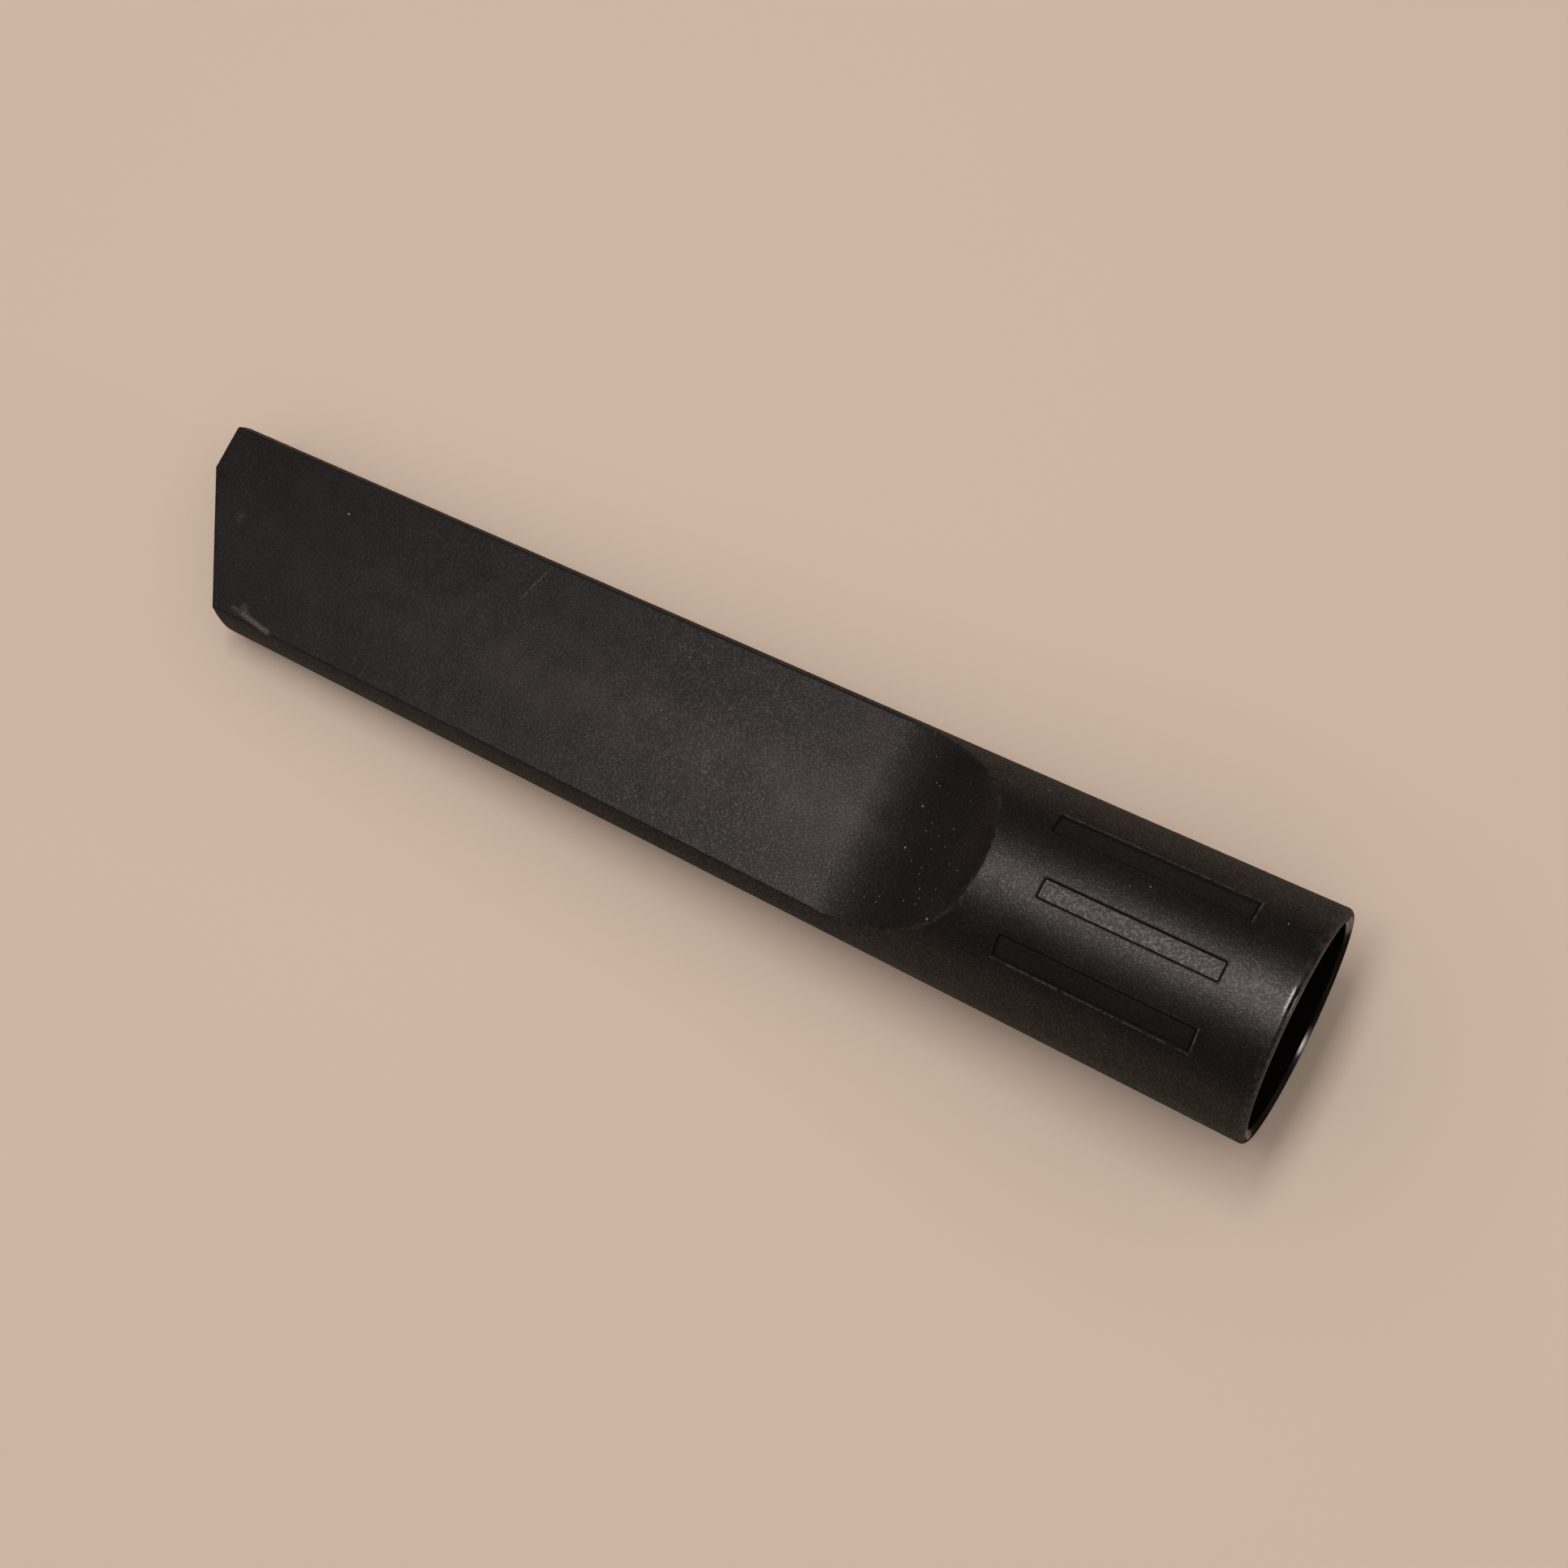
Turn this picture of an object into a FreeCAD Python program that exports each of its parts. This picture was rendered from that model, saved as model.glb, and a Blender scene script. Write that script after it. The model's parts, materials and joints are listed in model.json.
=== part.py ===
import FreeCAD, Part
import math
import os

# Crevice nozzle of a vacuum cleaner, one hollow moulding: a round socket that flattens into a blade.
# Millimetres and degrees. It is drawn with X from the socket's mouth to the nose and Z through the blade.

# Socket and wall
TUBE_DIAMETER = 35.0
SOCKET_CLEARANCE = 0.1
SOCKET_DEPTH = 40.0
WALL = 2.4
LEAD_IN = 0.6
MOUTH_ROUNDING = 0.9

# Outer taper, from the mouth to the nose
LENGTH = 210.0
SIDE_DRAFT = 0.9

# The two flats of the blade and the hollow ramps that lead down to them from the socket
FLAT_START = 76.5
ROOT_THICKNESS = 15.6
NOSE_THICKNESS = 13.8
RAMP_RADIUS = 33.0
EDGE_ROUNDING = 0.5

# Nose: square at first, then cut back on a slant towards the +Y side
SLANT_START = 7.0
SLANT_ANGLE = 30.0

# Sunk grip fields on the socket, three above and three below, measured at the skin
FIELD_DEPTH = 0.3
FIELD_SLOPE = 45.0
FIELD_CORNER = 0.6
FIELD_FROM_MOUTH = 11.4
MIDDLE_FIELD_LENGTH = 30.8
MIDDLE_FIELD_WIDTH = 3.8
SIDE_FIELD_LENGTH = 33.8
SIDE_FIELD_WIDTH = 4.6
SIDE_FIELD_TURN = 33.5

# Sizes that follow from the ones above
ALONG = FreeCAD.Vector(1, 0, 0)
ACROSS = FreeCAD.Vector(0, 1, 0)
UP = FreeCAD.Vector(0, 0, 1)
MOUTH_CENTRE = FreeCAD.Vector(0, 0, 0)
bore_radius = TUBE_DIAMETER / 2 + SOCKET_CLEARANCE
mouth_radius = bore_radius + WALL
draft = math.radians(SIDE_DRAFT)
taper = math.tan(draft)
flat_lean = math.atan((ROOT_THICKNESS - NOSE_THICKNESS) / 2 / (LENGTH - FLAT_START))
flat_root = FreeCAD.Vector(FLAT_START, 0, ROOT_THICKNESS / 2)
flat_normal = FreeCAD.Vector(math.sin(flat_lean), 0, math.cos(flat_lean))
flat_run = FreeCAD.Vector(math.cos(flat_lean), 0, -math.sin(flat_lean))
ramp_centre = flat_root + flat_normal * RAMP_RADIUS
past_end = 2 * WALL
reach = mouth_radius + past_end


def outer_radius(station):
    return mouth_radius - taper * station


def cone_between(start, end, inset):
    """Tapered round bar along X, lying the given inset inside the outer skin."""
    return Part.makeCone(
        outer_radius(start) - inset,
        outer_radius(end) - inset,
        end - start,
        FreeCAD.Vector(start, 0, 0),
        ALONG,
    )


def flattening_cut(inset):
    """Everything above the upper flat and its ramp, grown downwards by the given inset."""
    radius = RAMP_RADIUS + inset
    foot = ramp_centre - flat_normal * radius
    nose = foot + flat_run * (LENGTH - FLAT_START + past_end)
    crest = ramp_centre - ALONG * radius
    halfway = ramp_centre - (ALONG + flat_normal).normalize() * radius
    top = reach + RAMP_RADIUS
    above_crest = FreeCAD.Vector(crest.x, 0, top)
    above_nose = FreeCAD.Vector(nose.x, 0, top)
    ramp = Part.Arc(crest, halfway, foot).toShape()
    rest = Part.makePolygon([foot, nose, above_nose, above_crest, crest])
    outline = Part.Face(Part.Wire([ramp] + rest.Edges))
    outline.translate(ACROSS * -reach)
    return outline.extrude(ACROSS * 2 * reach)


def flattened(bar, inset):
    """The bar with a flat cut into it above and the same flat below."""
    upper = flattening_cut(inset)
    lower = upper.mirror(MOUTH_CENTRE, UP)
    return bar.cut(upper).cut(lower)


def edges_between(solid, first, second):
    """Edges where a face that passes the first test meets a face that passes the second."""
    found = []
    for edge in solid.Edges:
        faces = solid.ancestorsOfType(edge, Part.Face)
        if len(faces) == 2:
            one, other = faces
            if (first(one) and second(other)) or (first(other) and second(one)):
                found.append(edge)
    return found


def is_cone(face):
    return isinstance(face.Surface, Part.Cone)


def is_end(face):
    return isinstance(face.Surface, Part.Plane) and abs(face.Surface.Axis.z) < 0.5


def is_mouth(face):
    return is_end(face) and abs(face.CenterOfMass.x) < WALL


def is_nose(face):
    return is_end(face) and not is_mouth(face)


def is_not_mouth(face):
    return not is_mouth(face)


def is_flat_or_ramp(face):
    return not is_cone(face) and not is_end(face)


def slant_cut():
    """The corner taken off the nose, cut square to the flats."""
    side = mouth_radius + past_end
    back = (side + SLANT_START) * math.tan(math.radians(SLANT_ANGLE))
    begin = FreeCAD.Vector(LENGTH, -SLANT_START, -reach)
    finish = FreeCAD.Vector(LENGTH - back, side, -reach)
    beyond = FreeCAD.Vector(LENGTH + past_end, side, -reach)
    corner = FreeCAD.Vector(LENGTH + past_end, -SLANT_START, -reach)
    outline = Part.Face(Part.makePolygon([begin, finish, beyond, corner, begin]))
    return outline.extrude(UP * 2 * reach)


def rounded_outline(length, width, corner, level):
    """Outline of a strip with rounded corners, lying flat at the given level."""
    slab = Part.makeBox(length, width, WALL, FreeCAD.Vector(-length / 2, -width / 2, level))
    corners = [edge for edge in slab.Edges if abs(edge.tangentAt(edge.FirstParameter).z) > 0.9]
    slab = slab.makeFillet(corner, corners)
    return min(slab.Faces, key=lambda face: face.CenterOfMass.z).OuterWire


def grip_field(length, width, turn):
    """Strip with sloping walls, set into the skin of the socket and turned about its axis."""
    run = FIELD_DEPTH * math.tan(math.radians(FIELD_SLOPE))
    top = rounded_outline(length + 2 * run, width + 2 * run, FIELD_CORNER + run, FIELD_DEPTH)
    foot = rounded_outline(length - 4 * run, width - 4 * run, FIELD_CORNER - run, -2 * FIELD_DEPTH)
    strip = Part.makeLoft([foot, top], True, True)
    station = FIELD_FROM_MOUTH + length / 2
    strip.rotate(MOUTH_CENTRE, ACROSS, SIDE_DRAFT)
    strip.translate(FreeCAD.Vector(station, 0, outer_radius(station)))
    strip.rotate(MOUTH_CENTRE, ALONG, -turn)
    return strip.cut(cone_between(0, FLAT_START, FIELD_DEPTH))


def outer_skin():
    """The nozzle as a filled shape, with its flats, slanted nose, rounded edges and grip fields."""
    skin = flattened(cone_between(0, LENGTH, 0), 0).cut(slant_cut())
    flat_edges = edges_between(skin, is_cone, is_flat_or_ramp)
    nose_edges = edges_between(skin, is_nose, is_not_mouth)
    skin = skin.makeFillet(EDGE_ROUNDING, flat_edges + nose_edges)
    skin = skin.makeFillet(MOUTH_ROUNDING, edges_between(skin, is_cone, is_mouth))
    fields = [grip_field(MIDDLE_FIELD_LENGTH, MIDDLE_FIELD_WIDTH, 0)]
    fields.append(grip_field(SIDE_FIELD_LENGTH, SIDE_FIELD_WIDTH, SIDE_FIELD_TURN))
    fields.append(grip_field(SIDE_FIELD_LENGTH, SIDE_FIELD_WIDTH, -SIDE_FIELD_TURN))
    for field in fields:
        skin = skin.cut(field).cut(field.mirror(MOUTH_CENTRE, UP))
    return skin


def hollow():
    """Air passage: lead-in, straight socket bore, then the duct that flattens with the blade."""
    lead_in = Part.makeCone(bore_radius + LEAD_IN, bore_radius, LEAD_IN, MOUTH_CENTRE, ALONG)
    bore = Part.makeCylinder(bore_radius, SOCKET_DEPTH, MOUTH_CENTRE, ALONG)
    duct = flattened(cone_between(SOCKET_DEPTH / 2, LENGTH + past_end, WALL), WALL)
    return duct.fuse(bore).fuse(lead_in)


def lying_turn():
    """Turn that lays the nozzle on the shoulder of its lower ramp and the slanted edge of its nose."""
    climb = math.cos(draft) * (ramp_centre.z - mouth_radius + taper * ramp_centre.x) / RAMP_RADIUS
    shoulder_angle = draft + math.acos(climb)
    shoulder_station = ramp_centre.x - RAMP_RADIUS * math.sin(shoulder_angle)
    shoulder = FreeCAD.Vector(shoulder_station, 0, -outer_radius(shoulder_station))
    slant_begin = FreeCAD.Vector(LENGTH, -SLANT_START, -NOSE_THICKNESS / 2)
    slant_back = math.tan(math.radians(SLANT_ANGLE))
    slant_edge = FreeCAD.Vector(-slant_back, 1, -slant_back * math.tan(flat_lean))
    floor_normal = (slant_begin - shoulder).cross(slant_edge)
    return FreeCAD.Rotation(floor_normal, UP)


nozzle = outer_skin().cut(hollow()).Solids[0]
nozzle.Placement = FreeCAD.Placement(MOUTH_CENTRE, lying_turn())

os.makedirs("parts", exist_ok=True)
nozzle.exportStep("parts/nozzle_body.step")
print("solids", len(nozzle.Solids), "valid", nozzle.isValid(), "volume mm3", round(nozzle.Volume))
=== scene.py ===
# %% [markdown]
# # A crevice nozzle in black plastic
# The real object is one hollow moulding: a round socket that slips over a 35 mm tube, a hollow ramp above and
# below, and a flat blade that ends in a slanted nose. Its shape comes from the CAD model, and it is right.
# The lesson is about what makes a plain black thing look real: crisp shading over small edges, the grain of
# the mould, the polish of the bore, the wear of a tool that is pushed along skirting boards, and the soft
# light that shows it.

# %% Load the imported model
import json
import math

import bpy
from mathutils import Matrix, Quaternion, Vector

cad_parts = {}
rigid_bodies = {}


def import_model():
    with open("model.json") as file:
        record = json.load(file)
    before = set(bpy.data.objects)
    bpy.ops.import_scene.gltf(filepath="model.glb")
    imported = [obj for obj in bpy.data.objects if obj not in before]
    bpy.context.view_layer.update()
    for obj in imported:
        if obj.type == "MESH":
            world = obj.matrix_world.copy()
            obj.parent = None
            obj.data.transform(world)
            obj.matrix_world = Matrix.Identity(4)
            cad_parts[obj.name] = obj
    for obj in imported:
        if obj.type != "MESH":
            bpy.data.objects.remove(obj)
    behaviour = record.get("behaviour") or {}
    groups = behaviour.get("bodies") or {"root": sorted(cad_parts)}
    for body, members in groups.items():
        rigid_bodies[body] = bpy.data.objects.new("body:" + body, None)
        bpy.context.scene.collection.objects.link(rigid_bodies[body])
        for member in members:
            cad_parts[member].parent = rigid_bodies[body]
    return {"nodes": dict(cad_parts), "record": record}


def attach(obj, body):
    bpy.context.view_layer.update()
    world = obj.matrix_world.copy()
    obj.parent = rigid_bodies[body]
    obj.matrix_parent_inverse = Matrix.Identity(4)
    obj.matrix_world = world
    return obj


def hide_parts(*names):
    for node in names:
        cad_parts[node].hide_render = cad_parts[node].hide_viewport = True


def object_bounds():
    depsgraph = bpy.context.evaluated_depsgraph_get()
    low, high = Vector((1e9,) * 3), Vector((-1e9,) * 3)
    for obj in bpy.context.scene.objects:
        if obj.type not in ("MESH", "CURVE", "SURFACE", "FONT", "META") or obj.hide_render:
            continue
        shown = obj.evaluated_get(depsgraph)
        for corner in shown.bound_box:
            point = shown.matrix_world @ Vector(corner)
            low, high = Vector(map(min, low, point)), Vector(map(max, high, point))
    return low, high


for leftover in list(bpy.data.objects):
    bpy.data.objects.remove(leftover)

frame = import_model()
cad_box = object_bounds()
nozzle = frame["nodes"]["nozzle_body"]
print("CAD box", cad_box, "triangles", len(nozzle.data.polygons))

# %% [markdown]
# ## Sizes
# Finishes and marks are placed by the sizes that shape the CAD model, all in millimetres. The lean of the
# flats, the taper of the cone and the centre of the ramps' arc follow from them.

# %% Sizes of the nozzle, in millimetres
MM = 1000
LENGTH, FLAT_START = 210.0, 76.5
ROOT_HALF, NOSE_HALF = 7.8, 6.9
MOUTH_RADIUS, BORE_RADIUS, WALL, LEAD_IN = 20.0, 17.6, 2.4, 0.6
RAMP_RADIUS, SLANT_START = 33.0, 7.0
DRAFT, SLANT = math.radians(0.9), math.radians(30)

FIELD_DEPTH, FIELD_FROM_MOUTH, SIDE_FIELD_TURN = 0.3, 11.4, math.radians(33.5)
MIDDLE_FIELD_END, MIDDLE_FIELD_HALF = 42.2, 1.9
SIDE_FIELD_END, SIDE_FIELD_HALF = 45.2, 2.3

TAPER = math.tan(DRAFT)
FLAT_LEAN = math.atan((ROOT_HALF - NOSE_HALF) / (LENGTH - FLAT_START))
RAMP_X = FLAT_START + RAMP_RADIUS * math.sin(FLAT_LEAN)
RAMP_Z = ROOT_HALF + RAMP_RADIUS * math.cos(FLAT_LEAN)
print("the flats lean by", round(math.degrees(FLAT_LEAN), 3), "degrees")

# %% [markdown]
# ## The nozzle's own directions
# The nozzle lies on its lower shoulder and on one edge of its nose, so its axis leans a little. Marks and
# finishes are easier to place along the tool than along the floor. The bore's axis is in the record, where
# it points out of the mouth. The blade's up direction is found from the mesh: beyond the ramp, only the
# blade's top face and the bottom of the duct look upwards, so the mean of their directions, square to the
# axis, is up through the blade.

# %% Directions along, across and up through the blade
LOOKS_UP, PAST_RAMP = 0.985, 5

ALONG = -Vector(frame["record"]["mounts"][0]["axis"]).normalized()


def blade_direction(mesh):
    total = Vector()
    for face in mesh.polygons:
        on_blade = face.center.dot(ALONG) * MM > FLAT_START + PAST_RAMP
        if on_blade and face.normal.z > LOOKS_UP:
            total += face.normal * face.area
    return (total - ALONG * total.dot(ALONG)).normalized()


UP = blade_direction(nozzle.data)
ACROSS = UP.cross(ALONG)
print("along", ALONG, "across", ACROSS, "up", UP)

# %% [markdown]
# ## The camera
# The photograph looks down on the socket from a steep angle and from quite near, with the frame rolled to
# the side. A camera that is placed by eye never lines up, so this one was solved from the outline: its
# place, the point that it looks at, its roll and its lens.

# %% Camera
CAMERA_PLACE = Vector((-0.010975, 0.074239, 0.419108))
LOOK_AT = Vector((0.091868, -0.000243, -0.007295))
ROLL = math.radians(-26.934)
SENSOR_MM, LENS_MM, NEAREST_M = 36, 62.24, 0.01

camera = bpy.data.objects.new("camera", bpy.data.cameras.new("camera"))
bpy.context.collection.objects.link(camera)
camera.location = CAMERA_PLACE
level = (LOOK_AT - CAMERA_PLACE).to_track_quat("-Z", "Y")
camera.rotation_mode = "QUATERNION"
camera.rotation_quaternion = level @ Quaternion((0, 0, 1), ROLL)
camera.data.sensor_width = SENSOR_MM
camera.data.lens = LENS_MM
camera.data.clip_start = NEAREST_M
bpy.context.scene.camera = camera
print("camera stands", round((CAMERA_PLACE - LOOK_AT).length, 3), "m from the middle of the nozzle")

# %% [markdown]
# ## One class for shader maths
# A finish is a formula over the surface: how deep a point lies under the skin, how far it is from an edge,
# how much wear it gets. Written as nodes by hand, such a formula is a page of boxes. The class below wraps
# one socket, and arithmetic on it adds the Math nodes, so the formula stays readable.

# %% Wire, a socket that can be calculated with
# A Mix node has sockets for numbers, vectors and colours. These are the ones for colours.
BLEND_FIRST, BLEND_SECOND, BLEND_OUT = 6, 7, 2


class Wire:
    """One value on its way through a node tree."""

    def __init__(self, tree, socket=None):
        self.tree = tree
        self.socket = socket

    def node(self, kind, settings=None, sockets=None, out=0):
        """Adds any node: its settings first, then the values or links of its sockets."""
        made = self.tree.nodes.new(kind)
        for name, value in (settings or {}).items():
            setattr(made, name, value)
        for name, value in (sockets or {}).items():
            if isinstance(value, Wire):
                self.tree.links.new(value.socket, made.inputs[name])
            else:
                made.inputs[name].default_value = value
        return Wire(self.tree, made.outputs[out])

    def math(self, operation, first, second=0.0, clamp=False):
        settings = {"operation": operation, "use_clamp": clamp}
        return self.node("ShaderNodeMath", settings, {0: first, 1: second})

    def __add__(self, other):
        return self.math("ADD", self, other)

    __radd__ = __add__

    def __sub__(self, other):
        return self.math("SUBTRACT", self, other)

    def __rsub__(self, other):
        return self.math("SUBTRACT", other, self)

    def __mul__(self, other):
        return self.math("MULTIPLY", self, other)

    __rmul__ = __mul__

    def __truediv__(self, other):
        return self.math("DIVIDE", self, other)

    def __pow__(self, power):
        return self.math("POWER", self, power)

    def __abs__(self):
        return self.math("ABSOLUTE", self)

    def least(self, other):
        return self.math("MINIMUM", self, other)

    def most(self, other):
        return self.math("MAXIMUM", self, other)

    def above(self, limit):
        return self.math("GREATER_THAN", self, limit)

    def rise(self, low, high):
        """A soft step: 0 up to low, 1 from high on."""
        sockets = {"Value": self, "From Min": low, "From Max": high}
        return self.node("ShaderNodeMapRange", {"interpolation_type": "SMOOTHSTEP"}, sockets)

    def fall(self, low, high):
        """The same step the other way: 1 up to low, 0 from high on."""
        return 1 - self.rise(low, high)

    def other(self, out):
        """Another output of the same node."""
        return Wire(self.tree, self.socket.node.outputs[out])

    def vector(self, operation, second, out=0):
        return self.node("ShaderNodeVectorMath", {"operation": operation}, {0: self, 1: second}, out)

    def dot(self, direction):
        return self.vector("DOT_PRODUCT", tuple(direction), "Value")

    def noise(self, scale, detail, roughness):
        sockets = {"Vector": self, "Scale": scale, "Detail": detail, "Roughness": roughness}
        return self.node("ShaderNodeTexNoise", {}, sockets, "Fac")

    def blend(self, first, second, share):
        """First colour, mixed towards the second by a share from 0 to 1."""
        sockets = {0: share, BLEND_FIRST: first, BLEND_SECOND: second}
        return self.node("ShaderNodeMix", {"data_type": "RGBA"}, sockets, BLEND_OUT)

    def toward(self, colour, share):
        return self.blend(self, colour, share)


print("the wire class can add, subtract, multiply and divide sockets")

# %% [markdown]
# ## A black plastic that starts from the object's own measures
# The moulding is one plastic, and what differs over it is the tool that shaped it: the mould's outer face
# was spark eroded and leaves a fine grain, the cores that made the bore and the duct were polished, and the
# floors of the grip fields were eroded more coarsely. So the material first works out where a point is on
# the tool, in millimetres, and how deep it lies under the outer skin.

# %% Place on the tool, in millimetres
plastic = bpy.data.materials.new("black_plastic_look")
plastic.use_nodes = True
plastic_shader = plastic.node_tree.nodes["Principled BSDF"]
start = Wire(plastic.node_tree)
place = start.node("ShaderNodeTexCoord", out="Object")
x = place.dot(ALONG * MM)
y = place.dot(ACROSS * MM)
z = place.dot(UP * MM)
tool_place = start.node("ShaderNodeCombineXYZ", {}, {"X": x, "Y": y, "Z": z})
seen_from_top = start.node("ShaderNodeCombineXYZ", {}, {"X": x, "Y": y})
print("nodes for the place:", len(plastic.node_tree.nodes))

# %% Depth under the skin
under_cone = MOUTH_RADIUS - TAPER * x - (y ** 2 + z ** 2) ** 0.5
under_flat = ROOT_HALF - math.tan(FLAT_LEAN) * (x - FLAT_START) - abs(z)
under_ramp = ((x - RAMP_X) ** 2 + (abs(z) - RAMP_Z) ** 2) ** 0.5 - RAMP_RADIUS
on_blade = x.above(FLAT_START)
under_top = under_flat * on_blade + under_ramp * (1 - on_blade)
depth = under_cone.least(under_top)

from_tip = LENGTH - x
from_slant = (from_tip - (y + SLANT_START) * math.tan(SLANT)) * math.cos(SLANT)
from_nose = from_tip.least(from_slant)
print("nodes with the depth:", len(plastic.node_tree.nodes))

# %% [markdown]
# ## Which tool made which surface
# Masks follow from the place. The bore and the duct lie more than a millimetre under the skin and not on an
# end face. The three grip fields are strips along the socket, so a point's way round the socket and its way
# along it tell how far it is inside a strip: the first 0.3 mm is the strip's sloping wall, and the rest is
# its floor. Edges lie where the cone and the flat are both near, and round the mouth and the nose. Each pair
# of numbers is a soft step in millimetres, from where it starts to where it is full.

# %% Inside, outside and top
DEEP, PAST_END_FACE, FLAT_SKIN = (1.1, 1.5), (0.02, 0.3), (0.1, 0.3)

inside = depth.rise(*DEEP) * x.rise(*PAST_END_FACE) * from_nose.rise(*PAST_END_FACE)
on_skin = 1 - inside
on_top = z.above(0.0) * on_skin
on_flat = under_top.fall(*FLAT_SKIN) * on_top
print("nodes with the skin:", len(plastic.node_tree.nodes))

# %% Grip fields
SOCKET_RADIUS = 19.6
SIDE_FIELD_ARC = SOCKET_RADIUS * SIDE_FIELD_TURN
FLOOR_FROM, WALL_FROM, WALL_TO = (0.2, 0.4), (-0.15, 0.0), (0.3, 0.45)
MIDDLE_FOOT_FROM, MIDDLE_FOOT_TO = (0.1, 0.2), (0.32, 0.5)
SIDE_FOOT_FROM, SIDE_FOOT_TO = (0.0, 0.15), (0.4, 0.6)

way_round = SOCKET_RADIUS * start.math("ARCTAN2", abs(y), abs(z))
from_side_line = abs(way_round - SIDE_FIELD_ARC)
past_start = x - FIELD_FROM_MOUTH
in_middle_field = (MIDDLE_FIELD_HALF - way_round).least(past_start).least(MIDDLE_FIELD_END - x)
in_side_field = (SIDE_FIELD_HALF - from_side_line).least(past_start).least(SIDE_FIELD_END - x)
in_field = in_middle_field.most(in_side_field)
field_floor = in_field.rise(*FLOOR_FROM) * on_skin
middle_floor = in_middle_field.rise(*FLOOR_FROM)
field_wall = in_field.rise(*WALL_FROM) * in_field.fall(*WALL_TO) * on_skin
middle_foot = in_middle_field.rise(*MIDDLE_FOOT_FROM) * in_middle_field.fall(*MIDDLE_FOOT_TO)
side_foot = in_side_field.rise(*SIDE_FOOT_FROM) * in_side_field.fall(*SIDE_FOOT_TO)
field_foot_shade = middle_foot.most(side_foot) * on_skin
print("nodes with the grip fields:", len(plastic.node_tree.nodes))

# %% Outer rims of the side fields
# The lighter colour on these rims is a painted highlight on the lines where the side fields' sloping walls
# catch the lamp.
RIM_LINE, RIM_START, RIM_END = (0.06, 0.24), (-0.2, 0.1), (-0.1, 0.2)
MOUTH_RIM_OFFSET, MOUTH_RIM_ENDS = 0.1, (2.2, 2.4)

from_outer_side = abs(way_round - SIDE_FIELD_ARC - SIDE_FIELD_HALF)
along_field = past_start.rise(*RIM_START) * (x - SIDE_FIELD_END).fall(*RIM_END)
outer_rim_highlight = from_outer_side.fall(*RIM_LINE) * along_field
from_mouth_end = abs(past_start + MOUTH_RIM_OFFSET)
mouth_rim_highlight = from_mouth_end.fall(*RIM_LINE) * from_side_line.fall(*MOUTH_RIM_ENDS)
field_rim_highlight = outer_rim_highlight.most(mouth_rim_highlight) * on_skin
print("nodes with the rims:", len(plastic.node_tree.nodes))

# %% Edges and mouth
LONG_EDGE, MOUTH_EDGE, NOSE_EDGE = (0.12, 0.5), (1.0, 1.6), (0.1, 0.7)
UNDER_RIM_END, UNDER_RIM_TOP = (0.6, 1.4), (-4.0, 3.0)
LIP_END, LIP_DEEP, LIP_ENDS_HALF = (0.5, 0.7), (0.9, 1.2), (3.0, 6.0)

long_edge = under_cone.most(under_top).fall(*LONG_EDGE) * on_skin
mouth_edge = x.fall(*MOUTH_EDGE) * on_skin
nose_edge = from_nose.fall(*NOSE_EDGE) * on_skin
any_edge = long_edge.most(mouth_edge).most(nose_edge)
under_rim = x.fall(*UNDER_RIM_END) * z.fall(*UNDER_RIM_TOP) * on_skin
lip = x.fall(*LIP_END) * depth.rise(*LIP_DEEP)
lip_ends = lip * abs(z).fall(*LIP_ENDS_HALF)
print("nodes with the edges:", len(plastic.node_tree.nodes))

# %% [markdown]
# ## Grain and moulding line
# Spark erosion gives an irregular grain, a third to half a millimetre from bump to bump and a few
# hundredths deep, and coarser on the floors of the grip fields. Noise in millimetres of the tool is enough
# for it. A fine line runs along both sides, where the halves of the mould met. Both are too small to be a
# shape, so they are a bump, with heights in millimetres.

# %% Heights
SKIN_HEIGHT, FIELD_HEIGHT, LINE_HEIGHT = 0.03, 0.06, 0.05
SKIN_SCALE, FIELD_SCALE, GRAIN_DETAIL, GRAIN_ROUGH = 2.7, 1.9, 2.0, 0.6
WORN_OFF = 0.7
LINE_HALF, LINE_FROM_NOSE = (0.03, 0.2), (0.3, 1.0)

skin_grain = tool_place.noise(SKIN_SCALE, GRAIN_DETAIL, GRAIN_ROUGH)
field_grain = tool_place.noise(FIELD_SCALE, GRAIN_DETAIL, GRAIN_ROUGH)
grain = SKIN_HEIGHT * skin_grain * on_skin * (1 - WORN_OFF * any_edge)
grain = grain + FIELD_HEIGHT * field_grain * field_floor
parting_line = LINE_HEIGHT * abs(z).fall(*LINE_HALF) * on_skin * from_nose.rise(*LINE_FROM_NOSE)
print("nodes with the heights:", len(plastic.node_tree.nodes))

# %% [markdown]
# ## Wear and dust
# The nozzle has been used. Its rim, its nose and the edges of its blade are rubbed, a scuff runs along the
# near edge by the nose, a few strokes cross the blade, the socket has a worn patch near the mouth, and dust
# sits in the ramp and as a film on the blade. The rubbed colour on the rim and on the edges round the ramp is
# also a painted highlight, the film's bright band along the middle of the blade is a painted sheen, and the
# outer rims of the side fields carry painted highlight lines. The marks that can be told apart have their own
# place on the tool, and the rest is even chance.

# %% Helpers for marks
STROKE_CORE = 0.3


def spot(centre, radius, soft=0.5):
    """Round soft mark, seen from above."""
    distance = seen_from_top.vector("DISTANCE", (*centre, 0), "Value")
    return distance.fall(radius * (1 - soft), radius)


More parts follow.
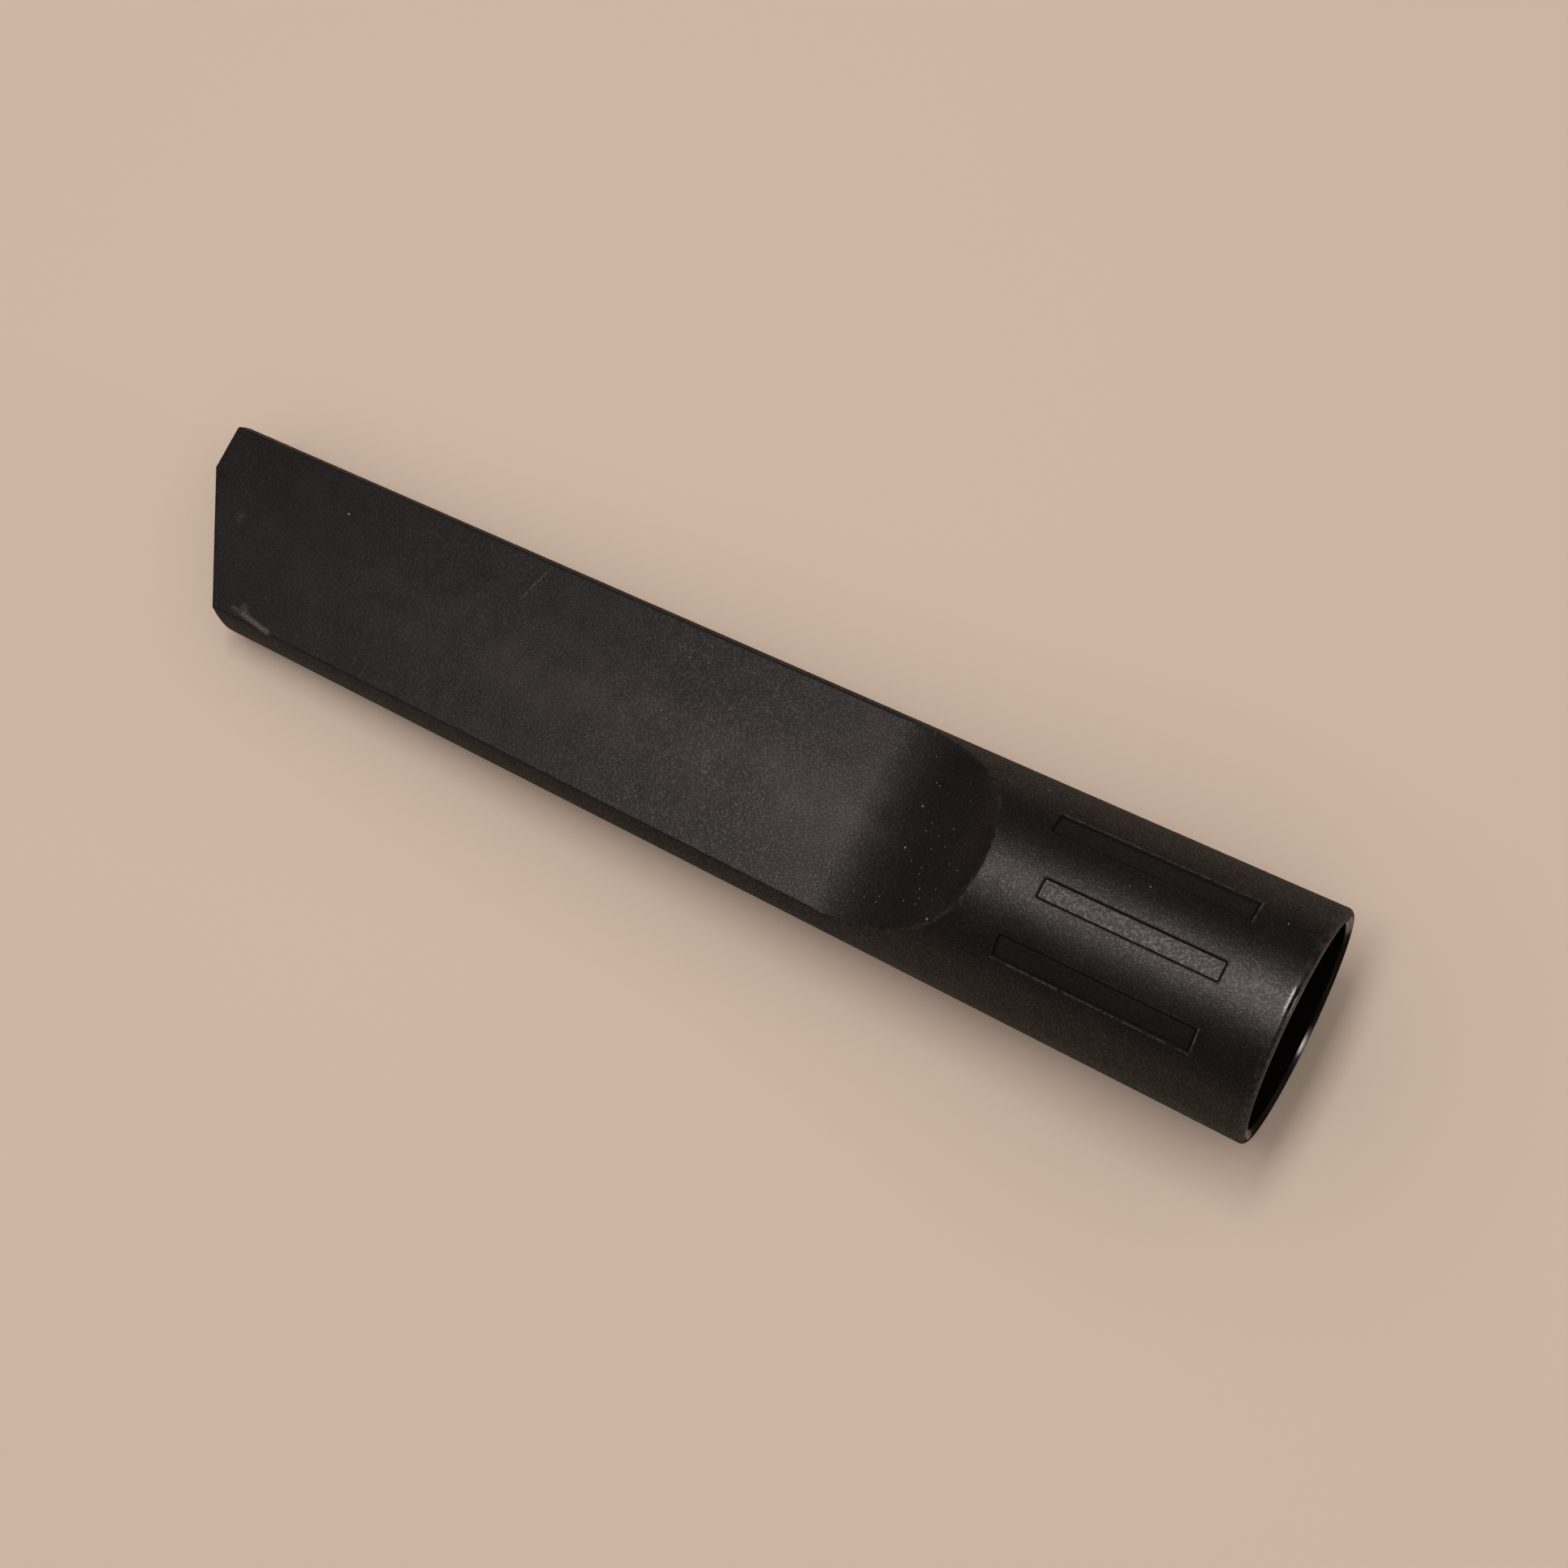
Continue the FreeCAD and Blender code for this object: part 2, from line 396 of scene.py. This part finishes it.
def stroke(begin, end, width):
    """Straight soft scratch between two points, seen from above."""
    run = Vector((*end, 0)) - Vector((*begin, 0))
    from_begin = seen_from_top.vector("SUBTRACT", (*begin, 0))
    reached = from_begin.vector("DOT_PRODUCT", tuple(run / run.length_squared), "Value")
    reached = reached.math("ADD", reached, 0.0, True)
    scaled_run = {0: tuple(run), "Scale": reached}
    nearest = start.node("ShaderNodeVectorMath", {"operation": "SCALE"}, scaled_run)
    return from_begin.vector("DISTANCE", nearest, "Value").fall(width * STROKE_CORE, width)


def all_of(marks):
    joined = marks[0]
    for mark in marks[1:]:
        joined = joined.most(mark)
    return joined


print("a mark is a round spot or a straight stroke")

# %% Marks with a place of their own
SPECKS = [
    ((182.4, -9.3), 0.24), ((114.35, -1.5), 0.15), ((114.3, -11.4), 0.15), ((85.7, 5.8), 0.14),
    ((87.4, 11.6), 0.14), ((67.0, -5.1), 0.2), ((66.4, 2.1), 0.2), ((65.9, -9.1), 0.12),
    ((60.6, 7.3), 0.14), ((59.9, 8.8), 0.12), ((56.7, 11.4), 0.24), ((55.7, 2.6), 0.14),
    ((49.4, -15.5), 0.16), ((27.2, -7.3), 0.14), ((30.0, -6.0), 0.12), ((6.5, -11.3), 0.15),
]
SCRATCHES = [
    ((145.9, -9.0), (143.8, -15.4), 0.4), ((116.8, -12.3), (113.6, -12.6), 0.25),
    ((112.4, -12.7), (108.9, -13.05), 0.25), ((8.4, -3.8), (6.9, -2.6), 0.2),
    ((5.0, 0.4), (3.2, 1.9), 0.2), ((52.6, 2.8), (51.6, 5.4), 0.16), ((53.0, 4.6), (52.2, 7.4), 0.14),
]
TIP_SCUFF = ((190.8, 14.3), (185.2, 15.3), 0.65)
TIP_PLUME = [((191.5, 13.1), (190.2, 14.3), 0.9), ((193.2, 13.9), (190.8, 14.4), 0.6)]
SOCKET_RUB = ((5.4, -0.6), 4.2)
NOSE_PATCH, BLADE_PATCH = ((200.6, -0.7), 1.6), ((103.8, 2.1), (102.5, 4.5), 0.9)
VERY_SOFT, PLUME_SHARE = 0.9, 0.4

specks = all_of([spot(*speck) for speck in SPECKS])
scratches = all_of([stroke(*scratch) for scratch in SCRATCHES])
tip_plume = all_of([stroke(*mark) for mark in TIP_PLUME])
tip_scuff = stroke(*TIP_SCUFF).most(PLUME_SHARE * tip_plume)
socket_rub = spot(*SOCKET_RUB, VERY_SOFT)
faint_patches = spot(*NOSE_PATCH, VERY_SOFT).most(stroke(*BLADE_PATCH))
print("marks placed:", len(SPECKS), "specks and", len(SCRATCHES), "scratches")

# %% Even chance
CELL_SCALE, CLOUD_SCALE, BLOTCH_SCALE = 0.45, 0.13, 0.8
CHANCE_DETAIL, CLOUD_FINE, BLOTCH_FINE, NOISE_MEAN = 3.0, 0.6, 0.7, 0.5
GRAIN_BREAK = (0.38, 0.62)

cell_sockets = {"Vector": seen_from_top, "Scale": CELL_SCALE}
cells = start.node("ShaderNodeTexVoronoi", {"voronoi_dimensions": "2D"}, cell_sockets)
cell_chance = start.node("ShaderNodeSeparateColor", {}, {0: cells.other("Color")})
clouds = tool_place.noise(CLOUD_SCALE, CHANCE_DETAIL, CLOUD_FINE)
blotches = tool_place.noise(BLOTCH_SCALE, CHANCE_DETAIL, BLOTCH_FINE)
broken = skin_grain.rise(*GRAIN_BREAK)
print("dust cells are about", round(1 / CELL_SCALE, 1), "mm wide")

# %% Dust and film
RAMP_FROM, RAMP_TO = (50.0, 54.0), (68.0, 74.0)
GRAIN_OF_DUST, LUCKY = (0.03, 0.07), (0.7, 1.0)
BLADE_DUST, RAMP_DUST = 0.1, 0.5
FILM_SHEEN_MIDDLE, FILM_SHEEN_HALF, FILM_SHEEN_FROM, FILM_SHEEN_CLOUDS = 1.5, 10, (66.0, 80.0), (0.15, 0.75)
FILM_SHEEN_AT_MOUTH, FILM_SHEEN_FADE, FILM_SHEEN_LEAST, RAMP_FILM_SHEEN = 1.35, 140, 0.1, 0.06

in_ramp = x.rise(*RAMP_FROM) * x.fall(*RAMP_TO) * on_flat
chance_dust = cells.fall(*GRAIN_OF_DUST) * cell_chance.rise(*LUCKY) * on_flat
dust = (specks * on_top).most(chance_dust * (BLADE_DUST + RAMP_DUST * in_ramp))
# The film is dust with painted sheen in it: its brighter band along the middle of the blade, fading towards
# the nose, stands in for the lamp's reflection.
mid_blade = (1 - ((y - FILM_SHEEN_MIDDLE) / FILM_SHEEN_HALF) ** 2).most(0.0) ** 2
fading = (FILM_SHEEN_AT_MOUTH - x / FILM_SHEEN_FADE).most(FILM_SHEEN_LEAST)
film_and_sheen = (FILM_SHEEN_LEAST + mid_blade) * fading * x.rise(*FILM_SHEEN_FROM) * clouds.rise(*FILM_SHEEN_CLOUDS)
film_and_sheen = (film_and_sheen + RAMP_FILM_SHEEN * in_ramp * clouds) * on_flat
print("nodes with the dust:", len(plastic.node_tree.nodes))

# %% Rubbing, scuffs and scratches
BLADE_EDGE_SPARED, BLADE_EDGE_FROM = 0.8, (70.0, 78.0)
EDGE_BLOTCHES, SOCKET_BLOTCHES, RIM_BLOTCHES = (0.42, 0.62), (0.45, 0.65), (0.35, 0.6)
SCRATCH_SHARE, PATCH_SHARE, RUB_AND_HIGHLIGHT_SHARE = 0.28, 0.3, 0.55
SCUFF_LEAST, SCUFF_BROKEN = 0.45, 0.55

# The edges are rubbed lighter, and on the mouth's rim and the edges round the ramp this lighter colour is
# also a painted highlight.
spared = BLADE_EDGE_SPARED * long_edge * x.rise(*BLADE_EDGE_FROM)
edge_rub_and_highlight = any_edge * blotches.rise(*EDGE_BLOTCHES) * (1 - spared) * (1 - under_rim)
scuffed = tip_scuff * (SCUFF_LEAST + SCUFF_BROKEN * broken) + PATCH_SHARE * faint_patches * broken
# The socket's worn patch is wear, and the lighter outer rims of the side fields are painted highlight lines.
rubbed_and_highlit = socket_rub * blotches.rise(*SOCKET_BLOTCHES) + field_rim_highlight * blotches.rise(*RIM_BLOTCHES)
marks = SCRATCH_SHARE * scratches * broken + scuffed + RUB_AND_HIGHLIGHT_SHARE * rubbed_and_highlit
wear_and_highlight = (marks * on_top).least(1.0)
print("nodes with the wear:", len(plastic.node_tree.nodes))

# %% [markdown]
# ## Colour, roughness and bump
# The black is a warm one, nearly as dark as plastic gets, so almost all that the eye sees is the lamp's
# blurred reflection. Roughness therefore matters more than colour: the grain does part of the blurring, the
# rubbed rim and the polished bore are smoother, and dust and the walls of the fields are dull. The Bump
# node's distance of one millimetre keeps the heights true.

# %% Colour
DEEP_BLACK, PALE_BLACK = (0.0040, 0.0035, 0.0032, 1), (0.0052, 0.0046, 0.0042, 1)
BLACK_CLOUDS = (0.35, 0.7)
FILM_AND_SHEEN_GREY, FILM_AND_SHEEN_SHARE = (0.05, 0.045, 0.04, 1), 0.5
FIELD_SHEEN_GREY, FIELD_SHEEN_SHARE = (0.014, 0.0125, 0.011, 1), 0.6
EDGE_RUB_AND_HIGHLIGHT_GREY, EDGE_RUB_AND_HIGHLIGHT_SHARE = (0.045, 0.040, 0.036, 1), 0.35
WEAR_AND_HIGHLIGHT_GREY, WEAR_AND_HIGHLIGHT_SHARE = (0.13, 0.122, 0.110, 1), 0.6
DUST_GREY, DUST_SHARE = (0.40, 0.36, 0.32, 1), 0.55

black = start.blend(DEEP_BLACK, PALE_BLACK, clouds.rise(*BLACK_CLOUDS))
# Dust film, with painted sheen along the middle of the blade.
colour = black.toward(FILM_AND_SHEEN_GREY, film_and_sheen * FILM_AND_SHEEN_SHARE)
# Painted sheen: the floor of the middle grip field, under the bright band, is made lighter.
colour = colour.toward(FIELD_SHEEN_GREY, middle_floor * on_skin * FIELD_SHEEN_SHARE)
# Rubbed edges, with painted highlights on the rim and on the edges round the ramp.
colour = colour.toward(EDGE_RUB_AND_HIGHLIGHT_GREY, edge_rub_and_highlight * EDGE_RUB_AND_HIGHLIGHT_SHARE)
# Wear, with painted highlight lines on the rims of the side fields.
colour = colour.toward(WEAR_AND_HIGHLIGHT_GREY, wear_and_highlight * WEAR_AND_HIGHLIGHT_SHARE)
colour = colour.toward(DUST_GREY, dust * DUST_SHARE)
print("nodes with the colour:", len(plastic.node_tree.nodes))

# %% Roughness and bump
SKIN_ROUGH, POLISHED_ROUGH = 0.43, 0.2
CLOUD_ROUGH, FLAT_ROUGH, WALL_ROUGH, DUST_ROUGH = 0.07, 0.02, 0.15, 0.12
RUBBED_FROM, RUBBED_TO = (-3.8, -2.4), (1.0, 2.4)
SCRATCH_DEPTH, DUST_HEIGHT = 0.012, 0.02

rubbed_middle = y.rise(*RUBBED_FROM) * y.fall(*RUBBED_TO)
polished = inside.most(mouth_edge * rubbed_middle)
roughness = SKIN_ROUGH + CLOUD_ROUGH * (clouds - NOISE_MEAN) + FLAT_ROUGH * on_flat
roughness = roughness + WALL_ROUGH * field_wall + DUST_ROUGH * dust
roughness = roughness * (1 - polished) + POLISHED_ROUGH * polished
height = grain + parting_line - SCRATCH_DEPTH * scratches * on_top + DUST_HEIGHT * dust
bump_sockets = {"Strength": 1.0, "Distance": 1 / MM, "Height": height}
normal = start.node("ShaderNodeBump", {}, bump_sockets, "Normal")

for name, value in (("Base Color", colour), ("Roughness", roughness), ("Normal", normal)):
    plastic.node_tree.links.new(value.socket, plastic_shader.inputs[name])
print("nodes with the bump:", len(plastic.node_tree.nodes))

# %% [markdown]
# ## Salt and pepper
# A spark-eroded skin sparkles: the tops of its grain shine, and its pits, which are as steep as they are
# deep, send nothing back. A bump that is strong enough for that looks like leather, lit from one side. So
# the finish has a second, dull shader with the same black, and a Mix Shader spreads the two by the grain.
# About half of the skin shines, so the shiny one reflects twice as much as plain plastic does. The foot of
# the grip fields' walls is dull as painted shade in the crease, and the lower lip of the mouth is dull as
# painted shade, apart from its middle, where tubes rub it, and its two ends, which shine more as painted
# highlights.

# %% Share of the skin that shines
TOPS_LEAST, TOPS_GRAIN, TOPS_MOTTLE = 0.35, 0.44, 0.22
MOTTLE_SCALE, SKIN_STEP = 0.25, (0.45, 0.7)
NOSE_FROM, NOSE_LESS_GRAIN, NOSE_TOPS = (90.0, 200.0), 0.14, 0.09
SOCKET_END, SOCKET_TOPS, NEAR_SIDE_GAIN = (60.0, 76.0), 0.05, 0.006

mottle = tool_place.noise(MOTTLE_SCALE, GRAIN_DETAIL, GRAIN_ROUGH)
toward_nose = x.rise(*NOSE_FROM)
grain_gain = TOPS_GRAIN - NOSE_LESS_GRAIN * toward_nose
skin_tops = TOPS_LEAST + grain_gain * skin_grain.rise(*SKIN_STEP) + TOPS_MOTTLE * (mottle - NOISE_MEAN)
skin_tops = skin_tops + SOCKET_TOPS * x.fall(*SOCKET_END) + NOSE_TOPS * toward_nose
skin_tops = skin_tops * (1 + NEAR_SIDE_GAIN * y * on_flat)
print("nodes with the shine of the skin:", len(plastic.node_tree.nodes))

# %% Share of the fields, the sides and the inside that shines
FIELD_TOPS, MIDDLE_LESS_TOPS = 0.48, 0.12
FIELD_GRAIN, MIDDLE_MORE_GRAIN, FIELD_STEP = 0.24, 0.28, (0.42, 0.68)
SIDE_SHINE, TOP_SHINE, SIDE_STEP = 0.55, 0.45, (0.25, 0.75)
INSIDE_SHINE, UNDER_RIM_LOSS, FOOT_SHADE_LOSS = 0.4, 0.7, 0.85
LIP_SHADE_LOSS, LOWER_LIP, LIP_END_HIGHLIGHT = 0.65, (-9.0, -5.0), 0.9

field_gain = FIELD_GRAIN + MIDDLE_MORE_GRAIN * middle_floor
field_tops = FIELD_TOPS - MIDDLE_LESS_TOPS * middle_floor + field_gain * field_grain.rise(*FIELD_STEP)
handled = SIDE_SHINE + TOP_SHINE * (abs(z) / (abs(z) + abs(y))).rise(*SIDE_STEP)
tops = skin_tops * (1 - field_floor) + field_tops * field_floor
tops = tops * handled.most(on_flat) * on_skin * (1 - UNDER_RIM_LOSS * under_rim)
# The dull foot of the fields' walls is painted shade in the crease.
tops = (tops + INSIDE_SHINE * handled ** 2 * inside) * (1 - FOOT_SHADE_LOSS * field_foot_shade)
# The dull lower lip is painted shade, and its shinier ends are painted highlights.
dull_lip_shade = lip * z.fall(*LOWER_LIP) * (1 - rubbed_middle)
tops = (tops * (1 - LIP_SHADE_LOSS * dull_lip_shade)).most(LIP_END_HIGHLIGHT * lip_ends)
print("nodes with all that shines:", len(plastic.node_tree.nodes))

# %% Shiny tops and dull pits
TWICE_THE_SHINE, NO_SHINE = 1.0, 0.0

plastic_shader.inputs["Specular IOR Level"].default_value = TWICE_THE_SHINE
shiny = Wire(plastic.node_tree, plastic_shader.outputs["BSDF"])
dull_sockets = {"Base Color": colour, "Roughness": roughness, "Normal": normal}
dull_sockets["Specular IOR Level"] = NO_SHINE
dull = start.node("ShaderNodeBsdfPrincipled", {}, dull_sockets)
surface = start.node("ShaderNodeMixShader", {}, {0: tops, 1: dull, 2: shiny})
plastic_output = plastic.node_tree.nodes["Material Output"]
plastic.node_tree.links.new(surface.socket, plastic_output.inputs["Surface"])
print("nodes in the finished plastic:", len(plastic.node_tree.nodes))

# %% [markdown]
# ## A skin that shades well
# A CAD mesh is loose triangles, some of them long and thin, and its smooth shading smears a grip field that
# is sunk by only 0.3 mm across half the socket. More triangles would help a little. A copy with true
# directions helps fully: a small Geometry Nodes tree welds the triangles and gives them their material, and
# then each corner of each face gets the direction that the real surface has there. The shape stays exactly
# that of the CAD model.

# %% Tree that welds the copy
WELD_M = 1e-6


def skin_tree(material):
    tree = bpy.data.node_groups.new("weld_and_coat", "GeometryNodeTree")
    tree.interface.new_socket("Geometry", in_out="INPUT", socket_type="NodeSocketGeometry")
    tree.interface.new_socket("Weld Distance", in_out="INPUT", socket_type="NodeSocketFloat")
    tree.interface.new_socket("Geometry", in_out="OUTPUT", socket_type="NodeSocketGeometry")
    base = Wire(tree)
    entry = tree.nodes.new("NodeGroupInput")
    given, weld = (Wire(tree, socket) for socket in entry.outputs[:2])
    welded = base.node("GeometryNodeMergeByDistance", {}, {"Geometry": given, "Distance": weld})
    smooth_sockets = {0: welded, "Shade Smooth": True}
    smooth = base.node("GeometryNodeSetShadeSmooth", {"domain": "FACE"}, smooth_sockets)
    solid = base.node("GeometryNodeRealizeInstances", {}, {"Geometry": smooth})
    coated = base.node("GeometryNodeSetMaterial", {}, {"Geometry": solid, "Material": material})
    leave = tree.nodes.new("NodeGroupOutput")
    tree.links.new(coated.socket, leave.inputs["Geometry"])
    return tree


def input_name(tree, label):
    return next(item.identifier for item in tree.interface.items_tree if item.name == label)


skin_group = skin_tree(plastic)
skin = bpy.data.objects.new("nozzle_skin", nozzle.data.copy())
bpy.context.collection.objects.link(skin)
weld_step = skin.modifiers.new("weld_and_coat", "NODES")
weld_step.node_group = skin_group
weld_step[input_name(skin_group, "Weld Distance")] = WELD_M
depsgraph = bpy.context.evaluated_depsgraph_get()
finished = bpy.data.meshes.new_from_object(skin.evaluated_get(depsgraph), depsgraph=depsgraph)
skin.modifiers.clear()
skin.data = finished
print("skin", len(finished.vertices), "points", len(finished.polygons), "faces")

# %% [markdown]
# ## True directions
# Each main surface of the nozzle is a simple one: a cone, a cylinder, a plane or the inside of a larger
# cylinder. For a point on such a surface the direction is a line of arithmetic. A corner takes the direction
# of the surface that its point lies on, if that is near the direction of its own face. On the small
# roundings and the walls of the grip fields, where no rule fits, it takes the mean of the faces around it
# that turn by less than a limit.

# %% The rules of the main surfaces


def rules_at(point):
    """Distance from each main surface, in millimetres, with that surface's direction."""
    px, py, pz = (point.dot(axis) * MM for axis in (ALONG, ACROSS, UP))
    side = 1 if pz > 0 else -1
    radius = math.hypot(py, pz)
    outward = (ACROSS * py + UP * pz) / radius
    cone = ALONG * math.sin(DRAFT) + outward * math.cos(DRAFT)
    flat = ALONG * math.sin(FLAT_LEAN) + UP * side * math.cos(FLAT_LEAN)
    to_ramp = ALONG * (RAMP_X - px) + UP * side * (RAMP_Z - abs(pz))
    below_cone = MOUTH_RADIUS - TAPER * px - radius
    below_flat = (ROOT_HALF - abs(pz)) * math.cos(FLAT_LEAN) - (px - FLAT_START) * math.sin(FLAT_LEAN)
    below_ramp = to_ramp.length - RAMP_RADIUS
    before_tip = LENGTH - px
    before_slant = before_tip * math.cos(SLANT) - (py + SLANT_START) * math.sin(SLANT)
    yield below_cone, cone
    yield below_cone - FIELD_DEPTH, cone
    yield below_cone - WALL, -cone
    yield radius - BORE_RADIUS, -outward
    yield radius + px - BORE_RADIUS - LEAD_IN, -(outward + ALONG).normalized()
    yield below_flat, flat
    yield below_flat - WALL, -flat
    yield below_ramp, to_ramp.normalized()
    yield below_ramp - WALL, -to_ramp.normalized()
    yield px, -ALONG
    yield before_tip, ALONG
    yield before_slant, ALONG * math.cos(SLANT) + ACROSS * math.sin(SLANT)


print("rules for a point:", len(list(rules_at(finished.vertices[0].co))))

# %% A direction for every corner
NEAR_MM = 0.004
NEAR_TURN, SMOOTH_TURN = math.cos(math.radians(28)), math.cos(math.radians(36))


def rules_near(point):
    return [rule for gap, rule in rules_at(point) if abs(gap) < NEAR_MM]


def corner_directions(mesh):
    around = [[] for _ in mesh.vertices]
    for face in mesh.polygons:
        for index in face.vertices:
            around[index].append(face)
    rules = [rules_near(point.co) for point in mesh.vertices]
    directions, ruled = [], 0
    for face in mesh.polygons:
        for index in face.vertices:
            best = max(rules[index], key=face.normal.dot, default=None)
            if best is not None and best.dot(face.normal) > NEAR_TURN:
                directions.append(best)
                ruled += 1
            else:
                near = [other for other in around[index] if other.normal.dot(face.normal) > SMOOTH_TURN]
                total = sum((other.normal * other.area for other in near), Vector())
                directions.append(total.normalized())
    print("corners that follow a rule:", ruled, "of", len(directions))
    return directions


finished.normals_split_custom_set(corner_directions(finished))
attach(skin, "root")
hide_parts("nozzle_body")

# %% [markdown]
# ## Floor and backdrop
# The nozzle lies on pale warm paper. It is a real surface that takes the lamp's light and the nozzle's
# shadow, and the warm light on the nozzle's sides comes back from it. A low round wall of the same paper
# stands far off, so that a low camera sees paper up to the top of its frame.

# %% Paper
PAPER_COLOUR, PAPER_ROUGH, PAPER_SHINE = (0.62, 0.55, 0.44, 1), 0.9, 0.2

paper = bpy.data.materials.new("floor_paper")
paper.use_nodes = True
paper_shader = paper.node_tree.nodes["Principled BSDF"]
paper_shader.inputs["Base Color"].default_value = PAPER_COLOUR
paper_shader.inputs["Roughness"].default_value = PAPER_ROUGH
paper_shader.inputs["Specular IOR Level"].default_value = PAPER_SHINE


def paper_object(name, corners, faces):
    """Object of plain paper, made from its corners and faces."""
    mesh = bpy.data.meshes.new(name)
    mesh.from_pydata(corners, [], faces)
    mesh.materials.append(paper)
    made = bpy.data.objects.new(name, mesh)
    bpy.context.collection.objects.link(made)
    return made


print("paper colour", PAPER_COLOUR)

# %% Floor
FLOOR_GAP_M, FLOOR_HALF_M = 0.00002, 8
FLOOR_LEVEL = cad_box[0][2] - FLOOR_GAP_M


def flat_floor(height, half):
    corners = [(-half, -half, height), (half, -half, height), (half, half, height), (-half, half, height)]
    return paper_object("floor", corners, [(0, 1, 2, 3)])


floor = flat_floor(FLOOR_LEVEL, FLOOR_HALF_M)
print("floor at", round(FLOOR_LEVEL, 5), "m")

# %% Backdrop
WALL_RADIUS_M, WALL_TOP_M, WALL_SIDES = 7.9, 1.0, 96


def round_wall(radius, foot, top, sides):
    """Wall all around, with its faces turned inwards."""
    turns = [2 * math.pi * step / sides for step in range(sides)]
    ring = [(radius * math.cos(turn), radius * math.sin(turn)) for turn in turns]
    corners = [(*corner, foot) for corner in ring] + [(*corner, top) for corner in ring]
    nexts = [(step + 1) % sides for step in range(sides)]
    faces = [(step, sides + step, sides + after, after) for step, after in enumerate(nexts)]
    made = paper_object("backdrop", corners, faces)
    made.data.shade_smooth()
    return made


backdrop = round_wall(WALL_RADIUS_M, FLOOR_LEVEL, WALL_TOP_M, WALL_SIDES)
print("backdrop of", len(backdrop.data.polygons), "faces")

# %% [markdown]
# ## Light
# The reflection on the blade is brightest at its root and fades towards the nose, and a bright band lies
# along the top of the socket. A narrow lamp overhead, a metre up and a little towards the nose, gives both.
# A large dim lamp high above lights the floor evenly. It stays out of reflections, because black plastic
# would show it as a grey veil over everything. A small low lamp beyond the mouth makes the glint on the
# bore's lead-in. The camera sees none of the lamps, and the world is dim.

# %% Lamps
WARM = (1.0, 0.86, 0.85)


def soft_lamp(name, position, width, height, watts, aim=None):
    """Area lamp that looks straight down, or towards a point."""
    lamp = bpy.data.lights.new(name, "AREA")
    lamp.shape = "RECTANGLE"
    lamp.size, lamp.size_y = width, height
    lamp.energy = watts
    lamp.color = WARM
    holder = bpy.data.objects.new(name, lamp)
    bpy.context.collection.objects.link(holder)
    holder.location = position
    holder.visible_camera = False
    if aim is not None:
        holder.rotation_mode = "QUATERNION"
        holder.rotation_quaternion = (Vector(aim) - Vector(position)).to_track_quat("-Z", "Y")
    return holder


key = soft_lamp("key", (0.20, -0.033, 1.0), width=0.14, height=0.63, watts=5.1)
fill = soft_lamp("fill", (0.1, 0.0, 6.0), width=16.0, height=16.0, watts=548.0)
fill.visible_glossy = False
glint = soft_lamp("glint", (-0.98, -0.12, 0.185), width=0.15, height=0.15, watts=1.6, aim=(0, 0, 0))
print("lamps", [(lamp.name, lamp.data.energy) for lamp in (key, fill, glint)])

# %% World
WORLD_STRENGTH = 0.05

world = bpy.data.worlds.new("studio")
world.use_nodes = True
background = world.node_tree.nodes["Background"]
background.inputs["Color"].default_value = (*WARM, 1)
background.inputs["Strength"].default_value = WORLD_STRENGTH
bpy.context.scene.world = world
bpy.context.scene.view_settings.view_transform = "Standard"
print("world strength", WORLD_STRENGTH)
